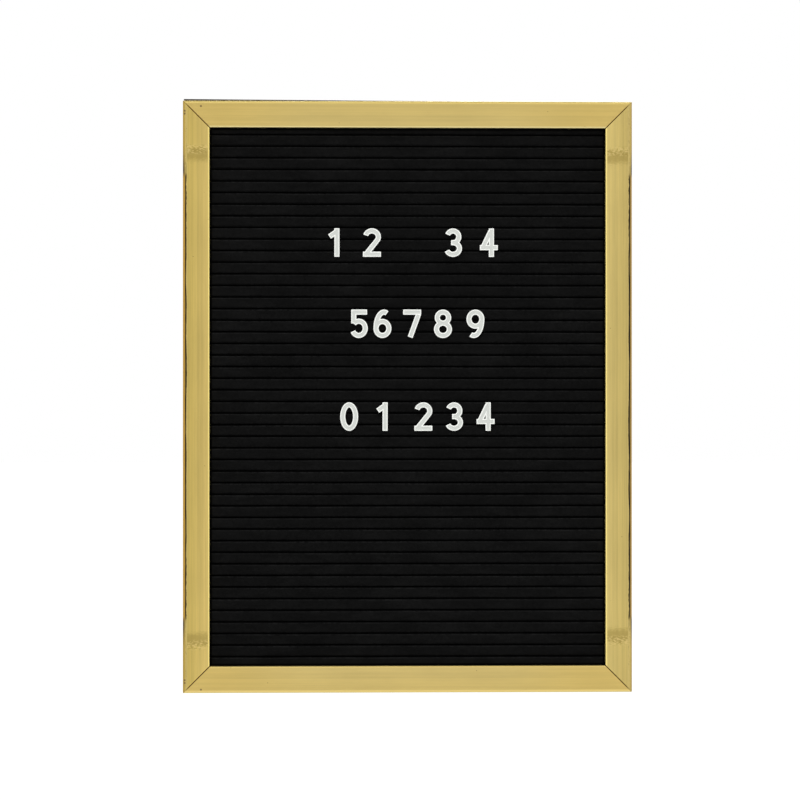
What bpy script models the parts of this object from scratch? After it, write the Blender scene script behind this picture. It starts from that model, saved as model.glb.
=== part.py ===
"""Felt letter board: a mitred frame wrapped in gold foil holds a grooved board with black felt
pressed into its grooves. White plastic numerals stand in the grooves on their prongs, a thin
backing board closes the rear, and a sawtooth hanger carries it all on the wall.

Metres, +Z up, the front towards -Y. The origin is the point where a wall nail bears in the
middle tooth of the hanger, on the plane of the wall.
"""

import math

import bmesh
import bpy
from mathutils import Matrix, Vector
from mathutils.bvhtree import BVHTree

# Clearances
FIT_GAP = 0.0003
MITRE_GAP = 0.0003
PANEL_EDGE_GAP = 0.0008
PRONG_END_GAP = 0.001
HOLE_END_GAP = 0.0005

# Frame
SIGHT_W = 0.268
SIGHT_H = 0.364
RAIL_FACE_W = 0.018
RAIL_DEPTH = 0.013
LIP_W = 0.006
LIP_T = 0.0035
OUTER_EDGE_R = 0.0016
SIGHT_EDGE_R = 0.0009

# V-shaped corner nails, one leg in each of the two rails that meet, with wood left on each side
V_NAIL_INNER_WOOD = 0.0025
V_NAIL_OUTER_WOOD = 0.002
V_NAIL_T = 0.0005
V_NAIL_H = 0.007

# Felt and the grooved board behind it
GROOVE_PITCH = 0.00785
FIRST_GROOVE_DROP = 0.0045
GROOVE_GAP = 0.0011
GROOVE_DEPTH = 0.005
FELT_T = 0.0007
CORE_EDGE_R = 0.0002

# Numerals: for each row the upper of its two grooves, counted from the top, then each
# numeral with its place across the board
NUMERAL_H = 0.0193
NUMERAL_W = 0.0122
NUMERAL_T = 0.002
STROKE_W = 0.0035
PRONG_INSET = 0.00045
NUMERAL_LIFT = 0.0015
NUMERAL_ROWS = (
    (10, (("1", -0.0493), ("2", -0.0243), ("3", 0.0306), ("4", 0.0549))),
    (17, (("5", -0.0332), ("6", -0.0172), ("7", 0.0029), ("8", 0.0238), ("9", 0.0458))),
    (25, (("0", -0.0397), ("1", -0.0167), ("2", 0.0105), ("3", 0.0313), ("4", 0.0527))),
)

# Backing board, whose top edge is cut out of square and stands proud of the frame
BACK_T = 0.0025
BACK_SIDE_INSET = 0.0004
BACK_BOTTOM_INSET = 0.001
BACK_TOP_LEFT_PROUD = 0.0021
BACK_TOP_RIGHT_PROUD = 0.0003

# Pan-head screws through the backing board into the rails
SCREW_HEAD_R = 0.0024
SCREW_HEAD_H = 0.0014
SCREW_SHANK_R = 0.0012
SCREW_L = 0.008
SCREW_TIP_L = 0.0015
SCREW_RECESS_W = 0.0005
SCREW_RECESS_SPAN = 0.0026
SCREW_RECESS_DEPTH = 0.0008
SCREW_ROW_SPACING = 0.13
SCREW_COLUMN_SPACING = 0.17

# Sawtooth hanger and its two nails
HANGER_L = 0.045
HANGER_H = 0.009
HANGER_T = 0.0008
HANGER_RISE = 0.0012
HANGER_FOOT_L = 0.009
HANGER_RAMP_L = 0.0015
TOOTH_DEPTH = 0.0012
TOOTH_COUNT = 9
TOOTH_PITCH = 0.0026
TOOTH_TIP_W = 0.0002
NAIL_SHANK_R = 0.0006
NAIL_HEAD_R = 0.0015
NAIL_HEAD_H = 0.0006
NAIL_L = 0.009
NAIL_TIP_L = 0.0012

# Fineness of round stretches
OUTER_EDGE_STEPS = 4
SIGHT_EDGE_STEPS = 2
RIDGE_STEPS = 2
NUMERAL_STEP_DEG = 15
ROUND_SIDES = 12

# Sizes across the face, from the middle of the board
OUTER_W = SIGHT_W + 2 * RAIL_FACE_W
OUTER_H = SIGHT_H + 2 * RAIL_FACE_W
PANEL_W = SIGHT_W + 2 * (LIP_W - PANEL_EDGE_GAP)
PANEL_H = SIGHT_H + 2 * (LIP_W - PANEL_EDGE_GAP)
REAR_LEG_W = RAIL_FACE_W - LIP_W
V_NAIL_LEG = REAR_LEG_W - V_NAIL_INNER_WOOD - V_NAIL_OUTER_WOOD
LEG_CENTRE_X = OUTER_W / 2 - REAR_LEG_W / 2
LEG_CENTRE_Z = OUTER_H / 2 - REAR_LEG_W / 2
BEARING_Z = LEG_CENTRE_Z - HANGER_H / 2 + TOOTH_DEPTH

# Planes from the wall forwards
HANGER_FOOT_Y = -HANGER_RISE
BACK_REAR_Y = HANGER_FOOT_Y - HANGER_T - FIT_GAP
BACK_FRONT_Y = BACK_REAR_Y - BACK_T
RAIL_REAR_Y = BACK_FRONT_Y - FIT_GAP
RAIL_FRONT_Y = RAIL_REAR_Y - RAIL_DEPTH
LIP_REAR_Y = RAIL_FRONT_Y + LIP_T
FELT_FRONT_Y = LIP_REAR_Y + FIT_GAP
GROOVE_FLOOR_Y = FELT_FRONT_Y + GROOVE_DEPTH
CORE_FRONT_Y = FELT_FRONT_Y + FELT_T + FIT_GAP
NUMERAL_REAR_Y = FELT_FRONT_Y - FIT_GAP

# Sizes that follow from the groove
RIDGE_R = CORE_EDGE_R + FIT_GAP + FELT_T
SLOT_HALF_W = GROOVE_GAP / 2 + FELT_T + FIT_GAP
PRONG_T = GROOVE_GAP - 2 * FIT_GAP
PRONG_W = STROKE_W - 2 * PRONG_INSET
PRONG_L = FIT_GAP + GROOVE_DEPTH - PRONG_END_GAP

# Rotations that lay a flat outline (its own X and Y) across the board or along its section
OUTLINE_TO_FACE = Matrix.Rotation(math.pi / 2, 4, "X")
OUTLINE_TO_SECTION = Matrix(((0, 0, 1, 0), (1, 0, 0, 0), (0, 1, 0, 0), (0, 0, 0, 1)))

# Colour, roughness and metallic value of each material
MATERIALS = {
    "gold_foil": ((0.60, 0.45, 0.15), 0.38, 0.7),
    "black_felt": ((0.006, 0.006, 0.006), 0.95, 0.0),
    "core_board": ((0.10, 0.085, 0.065), 0.8, 0.0),
    "backing_board": ((0.035, 0.033, 0.030), 0.7, 0.0),
    "white_plastic": ((0.80, 0.81, 0.79), 0.35, 0.0),
    "zinc_steel": ((0.62, 0.62, 0.60), 0.35, 1.0),
}


def clear_scene():
    for item in list(bpy.data.objects):
        bpy.data.objects.remove(item, do_unlink=True)


def new_collection(name):
    collection = bpy.data.collections.new(name)
    bpy.context.scene.collection.children.link(collection)
    return collection


def new_material(name):
    colour, roughness, metallic = MATERIALS[name]
    material = bpy.data.materials.new(name)
    material.use_nodes = True
    shader = material.node_tree.nodes["Principled BSDF"]
    shader.inputs["Base Color"].default_value = (*colour, 1.0)
    shader.inputs["Roughness"].default_value = roughness
    shader.inputs["Metallic"].default_value = metallic
    return material


class Board:
    """The collections, the materials and the middle of the board that every part hangs from."""

    def __init__(self):
        self.parts = new_collection("felt_letter_board")
        self.cutters = new_collection("cutters")
        self.materials = {name: new_material(name) for name in MATERIALS}
        self.middle = bpy.data.objects.new("board_middle", None)
        self.middle.location = (0, 0, -BEARING_Z)
        self.parts.objects.link(self.middle)

    def add(self, name, mesh, material, location=(0, 0, 0), turn_y=0.0):
        """A part at its place, measured from the middle of the board."""
        part = bpy.data.objects.new(name, mesh)
        if not mesh.materials:
            mesh.materials.append(self.materials[material])
        part.location = location
        part.rotation_euler.y = turn_y
        part.parent = self.middle
        self.parts.objects.link(part)
        return part

    def add_cutter(self, name, mesh, location=(0, 0, 0)):
        cutter = bpy.data.objects.new(name, mesh)
        cutter.location = location
        cutter.parent = self.middle
        cutter.hide_render = True
        cutter.display_type = "WIRE"
        self.cutters.objects.link(cutter)
        return cutter


def cut(part, cutters):
    for cutter in cutters:
        boolean = part.modifiers.new(cutter.name, "BOOLEAN")
        boolean.operation = "DIFFERENCE"
        boolean.object = cutter


def evaluated_mesh(source, turned=None):
    """The mesh of an object with its modifiers, its loose caps welded; the object is removed."""
    bpy.context.scene.collection.objects.link(source)
    bpy.context.view_layer.update()
    depsgraph = bpy.context.evaluated_depsgraph_get()
    mesh = bpy.data.meshes.new_from_object(source.evaluated_get(depsgraph))
    work = bmesh.new()
    work.from_mesh(mesh)
    bmesh.ops.remove_doubles(work, verts=work.verts, dist=1e-6)
    if turned:
        bmesh.ops.transform(work, matrix=turned, verts=work.verts)
    work.to_mesh(mesh)
    work.free()
    bpy.data.objects.remove(source, do_unlink=True)
    mesh.materials.clear()
    return mesh


def outline_mesh(name, points, thickness, turned):
    """A flat outline made solid, its thickness centred on the outline's plane."""
    curve = bpy.data.curves.new(name, "CURVE")
    curve.dimensions = "2D"
    curve.fill_mode = "BOTH"
    curve.extrude = thickness / 2
    spline = curve.splines.new("POLY")
    spline.points.add(len(points) - 1)
    for point, (x, y) in zip(spline.points, points):
        point.co = (x, y, 0, 1)
    spline.use_cyclic_u = True
    return evaluated_mesh(bpy.data.objects.new(name, curve), turned)


def stroke_mesh(name, path, width, depth, closed=False):
    """A wall of one width that follows a path across the face and is depth deep along Y."""
    work = bmesh.new()
    fronts = [work.verts.new((x, -depth / 2, z)) for x, z in path]
    rears = [work.verts.new((x, depth / 2, z)) for x, z in path]
    count = len(path)
    for i in range(count if closed else count - 1):
        j = (i + 1) % count
        work.faces.new((fronts[i], fronts[j], rears[j], rears[i]))
    mesh = bpy.data.meshes.new(name)
    work.to_mesh(mesh)
    work.free()
    wall = bpy.data.objects.new(name, mesh)
    solidify = wall.modifiers.new("width", "SOLIDIFY")
    solidify.thickness = width
    solidify.offset = 0
    solidify.use_even_offset = True
    return evaluated_mesh(wall)


def box_mesh(name, low, high):
    low = Vector(low)
    size = Vector(high) - low
    work = bmesh.new()
    place = Matrix.Translation(low + size / 2) @ Matrix.Diagonal((*size, 1))
    bmesh.ops.create_cube(work, size=1, matrix=place)
    mesh = bpy.data.meshes.new(name)
    work.to_mesh(mesh)
    work.free()
    return mesh


def turned_mesh(name, profile):
    """A turned shape: radius and height points, from the top down its outer side."""
    mesh = bpy.data.meshes.new(name)
    work = bmesh.new()
    verts = [work.verts.new((radius, 0, height)) for radius, height in profile]
    for upper, lower in zip(verts, verts[1:]):
        work.edges.new((upper, lower))
    work.to_mesh(mesh)
    work.free()
    turned = bpy.data.objects.new(name, mesh)
    screw = turned.modifiers.new("turn", "SCREW")
    screw.steps = ROUND_SIDES
    screw.render_steps = ROUND_SIDES
    screw.use_merge_vertices = True
    screw.merge_threshold = 0.00001
    # the turned axis points to the rear, so a head faces the wall
    to_rear = Matrix.Rotation(-math.pi / 2, 4, "X")
    return evaluated_mesh(turned, to_rear)


def union_mesh(name, meshes):
    """Meshes joined into one solid."""
    joined = bpy.data.objects.new(name, meshes[0])
    others = [bpy.data.objects.new(f"{name}_{i}", mesh) for i, mesh in enumerate(meshes[1:])]
    for other in others:
        bpy.context.scene.collection.objects.link(other)
        boolean = joined.modifiers.new(other.name, "BOOLEAN")
        boolean.operation = "UNION"
        boolean.object = other
    mesh = evaluated_mesh(joined)
    for other in others:
        bpy.data.objects.remove(other, do_unlink=True)
    return mesh


def arc(centre_x, centre_y, radius_x, radius_y, start_deg, end_deg, steps):
    """Points along an arc, both ends included."""
    points = []
    for i in range(steps + 1):
        angle = math.radians(start_deg + (end_deg - start_deg) * i / steps)
        points.append((centre_x + radius_x * math.cos(angle), centre_y + radius_y * math.sin(angle)))
    return points


def groove_heights():
    """Heights of the grooves, from the top one down, above the middle of the board."""
    top = SIGHT_H / 2 - FIRST_GROOVE_DROP
    count = int((SIGHT_H - FIRST_GROOVE_DROP) / GROOVE_PITCH) + 1
    return [top - i * GROOVE_PITCH for i in range(count)]


def rail_section():
    """Section of a rail: distance out from the sight edge, and depth."""
    points = arc(SIGHT_EDGE_R, RAIL_FRONT_Y + SIGHT_EDGE_R, SIGHT_EDGE_R, SIGHT_EDGE_R,
                 180, 270, SIGHT_EDGE_STEPS)
    points += arc(RAIL_FACE_W - OUTER_EDGE_R, RAIL_FRONT_Y + OUTER_EDGE_R, OUTER_EDGE_R, OUTER_EDGE_R,
                  270, 360, OUTER_EDGE_STEPS)
    points += [(RAIL_FACE_W, RAIL_REAR_Y), (LIP_W, RAIL_REAR_Y), (LIP_W, LIP_REAR_Y), (0, LIP_REAR_Y)]
    return points


def rail_mesh(name, sight_length):
    """A rail with its sight edge on the local Z axis, ends slanted to the mitre."""
    mesh = outline_mesh(name, rail_section(), sight_length, None)
    setback = MITRE_GAP / math.sqrt(2)
    for vert in mesh.vertices:
        end = math.copysign(1, vert.co.z)
        vert.co.z = end * (sight_length / 2 + vert.co.x - setback)
    return mesh


def corner_nail_path(side, level, spare=0.0):
    """The V across one corner, its point towards the sight opening."""
    x = side * (SIGHT_W / 2 + LIP_W + V_NAIL_INNER_WOOD)
    z = level * (SIGHT_H / 2 + LIP_W + V_NAIL_INNER_WOOD)
    reach = V_NAIL_LEG + spare
    return [(x + side * reach, z), (x, z), (x, z + level * reach)]


def add_corner_nails(board):
    """The four corner nails; returns their slots, for the rails."""
    slots = {}
    for level, level_name in ((1, "top"), (-1, "bottom")):
        for side, side_name in ((-1, "left"), (1, "right")):
            corner = f"{level_name}_{side_name}"
            nail = stroke_mesh("v_nail_" + corner, corner_nail_path(side, level), V_NAIL_T, V_NAIL_H)
            board.add("v_nail_" + corner, nail, "zinc_steel", (0, RAIL_REAR_Y - V_NAIL_H / 2, 0))
            # the slot runs out through the rear, and is as deep as the nail and its clearance
            slot_depth = V_NAIL_H + 2 * HOLE_END_GAP
            slot = stroke_mesh("v_slot_" + corner, corner_nail_path(side, level, FIT_GAP),
                               V_NAIL_T + 2 * FIT_GAP, slot_depth)
            slots[corner] = board.add_cutter("v_slot_" + corner, slot, (0, RAIL_REAR_Y - V_NAIL_H / 2, 0))
    return slots


def screw_mesh():
    """A pan-head screw, its seat at the origin and its shank forwards; cross recess in the head."""
    profile = [(0, SCREW_HEAD_H), (0.55 * SCREW_HEAD_R, SCREW_HEAD_H)]
    profile += [(0.88 * SCREW_HEAD_R, 0.7 * SCREW_HEAD_H), (SCREW_HEAD_R, 0.25 * SCREW_HEAD_H)]
    profile += [(SCREW_HEAD_R, 0), (SCREW_SHANK_R, 0), (SCREW_SHANK_R, SCREW_TIP_L - SCREW_L), (0, -SCREW_L)]
    head = bpy.data.objects.new("screw", turned_mesh("screw", profile))
    span = SCREW_RECESS_SPAN / 2
    width = SCREW_RECESS_W / 2
    depth = SCREW_RECESS_DEPTH
    cross = [box_mesh("recess", (-span, -depth, -width), (span, depth, width)),
             box_mesh("recess", (-width, -depth, -span), (width, depth, span))]
    recess = bpy.data.objects.new("recess", union_mesh("recess", cross))
    recess.location.y = SCREW_HEAD_H
    bpy.context.scene.collection.objects.link(recess)
    cut(head, [recess])
    mesh = evaluated_mesh(head)
    bpy.data.objects.remove(recess, do_unlink=True)
    return mesh


def hole_mesh(name, shank_r, front, rear):
    """A round hole along Y between two planes, with clearance round the shank."""
    work = bmesh.new()
    place = Matrix.Translation((0, (rear + front) / 2, 0)) @ Matrix.Rotation(math.pi / 2, 4, "X")
    bmesh.ops.create_cone(work, cap_ends=True, segments=ROUND_SIDES, radius1=shank_r + FIT_GAP,
                          radius2=shank_r + FIT_GAP, depth=rear - front, matrix=place)
    mesh = bpy.data.meshes.new(name)
    work.to_mesh(mesh)
    work.free()
    return mesh


def screw_places():
    """Each screw's rail, with its place across the board."""
    places = []
    for side, rail in ((-1, "left"), (1, "right")):
        for row in (-1, 0, 1):
            places.append((rail, side * LEG_CENTRE_X, row * SCREW_ROW_SPACING))
    for level, rail in ((1, "top"), (-1, "bottom")):
        for side in (-1, 1):
            places.append((rail, side * SCREW_COLUMN_SPACING / 2, level * LEG_CENTRE_Z))
    return places


def add_back_screws(board):
    """The screws; returns each one's hole with the rail that it enters."""
    seat_y = BACK_REAR_Y + FIT_GAP
    screw = screw_mesh()
    hole = hole_mesh("screw_hole", SCREW_SHANK_R, seat_y - SCREW_L - HOLE_END_GAP, seat_y)
    holes = []
    for number, (rail, x, z) in enumerate(screw_places(), start=1):
        board.add(f"back_screw_{number}", screw, "zinc_steel", (x, seat_y, z))
        holes.append((rail, board.add_cutter(f"screw_hole_{number}", hole, (x, 0, z))))
    return holes


def hanger_section():
    """The strip seen from above: two feet, two ramps and a middle pressed out to the rear."""
    ramp_end = HANGER_L / 2 - HANGER_FOOT_L
    ramp_start = ramp_end - HANGER_RAMP_L
    rear = [(HANGER_L / 2, 0), (ramp_end, 0), (ramp_start, HANGER_RISE), (-ramp_start, HANGER_RISE),
            (-ramp_end, 0), (-HANGER_L / 2, 0)]
    front = [(x, y - HANGER_T) for x, y in reversed(rear)]
    return rear + front


def tooth_notch():
    """The gap between two tooth tips: a point at the top, open at the bottom."""
    half_w = (TOOTH_PITCH - TOOTH_TIP_W) / 2
    return [(0, 0), (-half_w, -TOOTH_DEPTH), (-half_w, -2 * TOOTH_DEPTH), (half_w, -2 * TOOTH_DEPTH),
            (half_w, -TOOTH_DEPTH)]


def nail_mesh():
    profile = [(0, NAIL_HEAD_H), (0.8 * NAIL_HEAD_R, NAIL_HEAD_H), (NAIL_HEAD_R, 0.6 * NAIL_HEAD_H),
               (NAIL_HEAD_R, 0), (NAIL_SHANK_R, 0), (NAIL_SHANK_R, NAIL_TIP_L - NAIL_L), (0, -NAIL_L)]
    return turned_mesh("hanger_nail", profile)


def add_hanger(board):
    """The hanger and its nails; returns the nails' holes, which pass through its feet too."""
    strip = outline_mesh("sawtooth_hanger", hanger_section(), HANGER_H, None)
    hanger = board.add("sawtooth_hanger", strip, "zinc_steel", (0, HANGER_FOOT_Y, LEG_CENTRE_Z))
    notch = outline_mesh("tooth_notch", tooth_notch(), 4 * HANGER_RISE, OUTLINE_TO_FACE)
    for i in range(TOOTH_COUNT):
        x = (i - (TOOTH_COUNT - 1) / 2) * TOOTH_PITCH
        cut(hanger, [board.add_cutter(f"tooth_notch_{i + 1}", notch, (x, HANGER_FOOT_Y, BEARING_Z))])
    nail = nail_mesh()
    seat_y = HANGER_FOOT_Y + FIT_GAP
    hole = hole_mesh("nail_hole", NAIL_SHANK_R, seat_y - NAIL_L - HOLE_END_GAP, seat_y)
    holes = []
    for side, side_name in ((-1, "left"), (1, "right")):
        x = side * (HANGER_L / 2 - HANGER_FOOT_L / 2)
        board.add("hanger_nail_" + side_name, nail, "zinc_steel", (x, seat_y, LEG_CENTRE_Z))
        holes.append(board.add_cutter("nail_hole_" + side_name, hole, (x, 0, LEG_CENTRE_Z)))
    cut(hanger, holes)
    return holes


def add_rails(board, slots, screw_holes, nail_holes):
    """Four rails round the sight opening, each turned so that its outer side faces outwards."""
    for name, turn, x, z, length in (
        ("top", -math.pi / 2, 0, SIGHT_H / 2, SIGHT_W),
        ("bottom", math.pi / 2, 0, -SIGHT_H / 2, SIGHT_W),
        ("left", math.pi, -SIGHT_W / 2, 0, SIGHT_H),
        ("right", 0, SIGHT_W / 2, 0, SIGHT_H),
    ):
        rail = board.add("rail_" + name, rail_mesh("rail_" + name, length), "gold_foil", (x, 0, z), turn)
        cut(rail, [slot for corner, slot in slots.items() if name in corner])
        cut(rail, [hole for entered, hole in screw_holes if entered == name])
        if name == "top":
            cut(rail, nail_holes)


def add_core_board(board):
    """The grooved board: a comb section as long as the board is wide."""
    slot_floor_y = GROOVE_FLOOR_Y + FELT_T + FIT_GAP
    edge_y = CORE_FRONT_Y + CORE_EDGE_R
    points = [(CORE_FRONT_Y, PANEL_H / 2)]
    for height in groove_heights():
        upper = height + SLOT_HALF_W
        lower = height - SLOT_HALF_W
        points += arc(edge_y, upper + CORE_EDGE_R, CORE_EDGE_R, CORE_EDGE_R, 180, 270, 1)
        points += [(slot_floor_y, upper), (slot_floor_y, lower)]
        points += arc(edge_y, lower - CORE_EDGE_R, CORE_EDGE_R, CORE_EDGE_R, 90, 180, 1)
    points += [(CORE_FRONT_Y, -PANEL_H / 2), (RAIL_REAR_Y, -PANEL_H / 2), (RAIL_REAR_Y, PANEL_H / 2)]
    board.add("core_board", outline_mesh("core_board", points, PANEL_W, OUTLINE_TO_SECTION), "core_board")


def add_felt_sheet(board):
    """One sheet of felt that follows the ridges and runs down into every groove."""
    edge_y = FELT_FRONT_Y + RIDGE_R
    half_gap = GROOVE_GAP / 2
    path = [(FELT_FRONT_Y, PANEL_H / 2)]
    for height in groove_heights():
        path += arc(edge_y, height + half_gap + RIDGE_R, RIDGE_R, RIDGE_R, 180, 270, RIDGE_STEPS)
        path += [(GROOVE_FLOOR_Y, height + half_gap), (GROOVE_FLOOR_Y, height - half_gap)]
        path += arc(edge_y, height - half_gap - RIDGE_R, RIDGE_R, RIDGE_R, 90, 180, RIDGE_STEPS)
    path.append((FELT_FRONT_Y, -PANEL_H / 2))
    work = bmesh.new()
    lefts = [work.verts.new((-PANEL_W / 2, y, z)) for y, z in path]
    rights = [work.verts.new((PANEL_W / 2, y, z)) for y, z in path]
    for i in range(len(path) - 1):
        work.faces.new((lefts[i], lefts[i + 1], rights[i + 1], rights[i]))
    mesh = bpy.data.meshes.new("felt_sheet")
    work.to_mesh(mesh)
    work.free()
    felt = board.add("felt_sheet", mesh, "black_felt")
    solidify = felt.modifiers.new("thickness", "SOLIDIFY")
    solidify.thickness = FELT_T
    solidify.offset = -1
    solidify.use_even_offset = True


def add_back_board(board, holes):
    left = -OUTER_W / 2 + BACK_SIDE_INSET
    right = OUTER_W / 2 - BACK_SIDE_INSET
    bottom = -OUTER_H / 2 + BACK_BOTTOM_INSET
    outline = [(left, bottom), (right, bottom), (right, OUTER_H / 2 + BACK_TOP_RIGHT_PROUD),
               (left, OUTER_H / 2 + BACK_TOP_LEFT_PROUD)]
    mesh = outline_mesh("back_board", outline, BACK_T, OUTLINE_TO_FACE)
    back = board.add("back_board", mesh, "backing_board", (0, BACK_REAR_Y - BACK_T / 2, 0))
    cut(back, holes)


def numeral_strokes(digit):
    """The centre lines of a numeral's strokes, from its middle, each with whether it closes."""
    half_w = NUMERAL_W / 2
    half_h = NUMERAL_H / 2
    a = half_w - STROKE_W / 2
    b = half_h - STROKE_W / 2

    def bow(centre_z, radius_x, radius_z, start, end, centre_x=0.0):
        steps = max(2, round(abs(end - start) / NUMERAL_STEP_DEG))
        return arc(centre_x, centre_z, radius_x, radius_z, start, end, steps)

    def ring(centre_z, radius_x, radius_z):
        return bow(centre_z, radius_x, radius_z, 0, 360)[:-1]

    def six(sign):
        bowl_z = 0.6 * b
        strokes = [(ring(bowl_z - b, a, bowl_z), True),
                   (bow(bowl_z - b, 1.25 * a, 2 * b - bowl_z, 182, 68, 0.25 * a), False)]
        return [([(sign * x, sign * z) for x, z in path], closed) for path, closed in strokes]

    if digit == "0":
        return [(ring(0, a, b), True)]
    if digit == "1":
        stem = 0.3 * a
        return [([(stem, -half_h), (stem, half_h)], False),
                ([(stem, b - 0.1 * STROKE_W), (-0.85 * a, 0.5 * b)], False)]
    if digit == "2":
        hook = bow(0.48 * b, a, 0.52 * b, 165, -28)
        return [(hook + [(-a + 0.1 * STROKE_W, -b)], False), ([(-half_w, -b), (half_w, -b)], False)]
    if digit == "3":
        return [(bow(0.5 * b, 0.9 * a, 0.5 * b, 158, -90) + [(-0.3 * a, 0)], False),
                ([(-0.3 * a, 0)] + bow(-0.5 * b, a, 0.5 * b, 90, -158), False)]
    if digit == "4":
        stem = 0.4 * a
        bar = -0.42 * b
        return [([(stem, -half_h), (stem, half_h)], False), ([(-half_w, bar), (half_w, bar)], False),
                ([(stem - 0.1 * STROKE_W, b), (-a + 0.1 * STROKE_W, bar)], False)]
    if digit == "5":
        stem = -0.78 * a
        return [([(stem - STROKE_W / 2, b), (0.92 * half_w, b)], False),
                ([(stem, half_h), (stem, 0.02 * b)], False),
                (bow(-0.39 * b, a, 0.61 * b, 141, -155), False)]
    if digit == "6":
        return six(1)
    if digit == "7":
        # the slanting stroke starts inside the bar, its outer corner at the bar's end
        start = (a + 0.02 * STROKE_W, b - 0.35 * STROKE_W)
        return [([(-half_w, b), (half_w, b)], False), ([start, (-0.3 * a, 0.15 * STROKE_W - half_h)], False)]
    if digit == "8":
        return [(ring(-0.47 * b, a, 0.53 * b), True), (ring(0.53 * b, 0.88 * a, 0.47 * b), True)]
    return six(-1)


def stretches_at(mesh, height):
    """The stretches of material that a level line at this height crosses, as pairs of x."""
    work = bmesh.new()
    work.from_mesh(mesh)
    tree = BVHTree.FromBMesh(work)
    work.free()
    crossings = []
    start = Vector((-NUMERAL_W, 0, height))
    step = Vector((1e-6, 0, 0))
    hit = tree.ray_cast(start, Vector((1, 0, 0)))[0]
    while hit:
        crossings.append(hit.x)
        hit = tree.ray_cast(hit + step, Vector((1, 0, 0)))[0]
    return list(zip(crossings[::2], crossings[1::2]))


def numeral_mesh(digit):
    """A numeral with a prong behind each stroke that crosses one of its two grooves."""
    name = "numeral_" + digit
    lines = numeral_strokes(digit)
    strokes = [stroke_mesh(name, path, STROKE_W, NUMERAL_T, closed) for path, closed in lines]
    face = union_mesh(name, strokes) if len(strokes) > 1 else strokes[0]
    prongs = []
    for level in (1, -1):
        height = level * GROOVE_PITCH / 2 - NUMERAL_LIFT
        for low_x, high_x in stretches_at(face, height):
            if high_x - low_x < PRONG_W:
                continue
            x = (low_x + high_x) / 2
            prongs.append(box_mesh(name, (x - PRONG_W / 2, 0, height - PRONG_T / 2),
                                   (x + PRONG_W / 2, NUMERAL_T / 2 + PRONG_L, height + PRONG_T / 2)))
    return union_mesh(name, [face] + prongs)


def add_numerals(board):
    grooves = groove_heights()
    for row, (groove, numerals) in enumerate(NUMERAL_ROWS, start=1):
        height = (grooves[groove - 1] + grooves[groove]) / 2 + NUMERAL_LIFT
        for place, (digit, x) in enumerate(numerals, start=1):
            board.add(f"row{row}_numeral_{place}", numeral_mesh(digit), "white_plastic",
                      (x, NUMERAL_REAR_Y - NUMERAL_T / 2, height))


def shade_round_parts(board):
    for part in board.parts.objects:
        if part.type == "MESH" and part.name.startswith(("back_screw", "hanger_nail")):
            part.data.shade_smooth()
            part.data.set_sharp_from_angle(angle=math.radians(40))


def main():
    clear_scene()
    board = Board()
    slots = add_corner_nails(board)
    screw_holes = add_back_screws(board)
    nail_holes = add_hanger(board)
    add_rails(board, slots, screw_holes, nail_holes)
    add_core_board(board)
    add_felt_sheet(board)
    add_back_board(board, [hole for _, hole in screw_holes] + nail_holes)
    add_numerals(board)
    shade_round_parts(board)


main()
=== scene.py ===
"""Looks of the felt letter board: foil-wrapped rails, pleated felt, moulded numerals, the dark
backing board with its screws and hanger, the studio and the camera.

Metres, in the frame of the CAD model: +Z up, the front towards -Y, and the middle of the board
straight below the hanger tooth at the origin.
"""

import math

import bmesh
import bpy
from mathutils import Matrix, Vector, noise
from mathutils.bvhtree import BVHTree


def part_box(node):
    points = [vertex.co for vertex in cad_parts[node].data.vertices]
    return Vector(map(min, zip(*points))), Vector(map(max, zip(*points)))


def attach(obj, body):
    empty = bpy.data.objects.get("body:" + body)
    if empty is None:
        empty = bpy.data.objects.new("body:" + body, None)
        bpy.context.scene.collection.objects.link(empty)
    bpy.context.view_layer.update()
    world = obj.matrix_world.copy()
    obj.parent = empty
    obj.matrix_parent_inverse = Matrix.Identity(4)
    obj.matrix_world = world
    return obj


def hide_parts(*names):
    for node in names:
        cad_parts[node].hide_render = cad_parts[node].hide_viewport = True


# Sizes that the CAD model has as well
FIT_GAP = 0.0003
HOLE_END_GAP = 0.0005
MITRE_GAP = 0.0003
BEARING_Z = 0.1907
SIGHT_W = 0.268
SIGHT_H = 0.364
RAIL_FACE_W = 0.018
RAIL_REAR_Y = -0.0051
RAIL_FRONT_Y = -0.0181
LIP_W = 0.006
LIP_REAR_Y = -0.0146
OUTER_EDGE_R = 0.0016
SIGHT_EDGE_R = 0.0009
PANEL_W = 0.2784
PANEL_H = 0.3744
V_NAIL_T = 0.0005
V_NAIL_H = 0.007
V_NAIL_LEG = 0.0075
V_NAIL_INNER_WOOD = 0.0025
GROOVE_PITCH = 0.00785
GROOVE_COUNT = 46
FIRST_GROOVE_DROP = 0.0045
GROOVE_GAP = 0.0011
FELT_FRONT_Y = -0.0143
GROOVE_FLOOR_Y = -0.0093
FELT_T = 0.0007
RIDGE_R = 0.0012
NUMERAL_H = 0.0193
NUMERAL_W = 0.0122
NUMERAL_T = 0.002
STROKE_W = 0.0035
PRONG_W = 0.0026
PRONG_T = 0.0005
PRONG_L = 0.0043
NUMERAL_LIFT = 0.0015
NUMERAL_REAR_Y = -0.0146
NUMERAL_ROWS = (
    (10, (("1", -0.0493), ("2", -0.0243), ("3", 0.0306), ("4", 0.0549))),
    (17, (("5", -0.0332), ("6", -0.0172), ("7", 0.0029), ("8", 0.0238), ("9", 0.0458))),
    (25, (("0", -0.0397), ("1", -0.0167), ("2", 0.0105), ("3", 0.0313), ("4", 0.0527))),
)
BACK_REAR_Y = -0.0023
BACK_FRONT_Y = -0.0048
SCREW_COUNT = 10
SCREW_SEAT_Y = -0.002
SCREW_HEAD_R = 0.0024
SCREW_HEAD_H = 0.0014
SCREW_SHANK_R = 0.0012
SCREW_L = 0.008
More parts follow.
